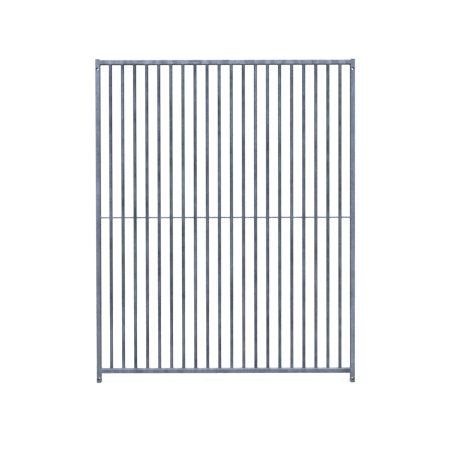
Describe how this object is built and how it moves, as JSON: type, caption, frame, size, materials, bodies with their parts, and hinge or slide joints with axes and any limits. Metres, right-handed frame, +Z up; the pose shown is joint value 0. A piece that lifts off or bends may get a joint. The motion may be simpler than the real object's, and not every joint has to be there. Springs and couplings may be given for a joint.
{
  "type": "steel bar barrier panel",
  "caption": "Flat galvanised steel barrier panel of upright round bars in a square-tube frame, with short feet and bolt holes for joining it to the next panel.",
  "frame": {"origin": "on the ground, under the middle of the panel", "axes": "+X along the panel to the right, +Y through the panel to the back, +Z up"},
  "size_m": [1.5, 0.0268, 1.873],
  "materials": {
    "frame_steel": "hot-dip galvanised, dull blue-grey zinc with a faint spangle",
    "bar_steel": "hot-dip galvanised, dull blue-grey zinc, streaked along the bar",
    "weld_steel": "rippled weld beads under zinc",
    "cap_plastic": "moulded black plastic, fine grain"
  },
  "bodies": {
    "root": {"bar_01": "bar_steel", "bar_02": "bar_steel", "bar_03": "bar_steel", "bar_04": "bar_steel", "bar_05": "bar_steel", "bar_06": "bar_steel", "bar_07": "bar_steel", "bar_08": "bar_steel", "bar_09": "bar_steel", "bar_10": "bar_steel", "bar_11": "bar_steel", "bar_12": "bar_steel", "bar_13": "bar_steel", "bar_14": "bar_steel", "bar_15": "bar_steel", "bar_16": "bar_steel", "bar_17": "bar_steel", "bar_18": "bar_steel", "bar_19": "bar_steel", "bar_20": "bar_steel", "bottom_bar_welds": "weld_steel", "bottom_rail": "frame_steel", "corner_welds": "weld_steel", "cross_rod": "bar_steel", "foot_cap_left": "cap_plastic", "foot_cap_right": "cap_plastic", "left_post": "frame_steel", "right_post": "frame_steel", "rod_welds": "weld_steel", "top_bar_welds": "weld_steel", "top_cap_left": "cap_plastic", "top_cap_right": "cap_plastic", "top_rail": "frame_steel"}
  },
  "joints": []
}
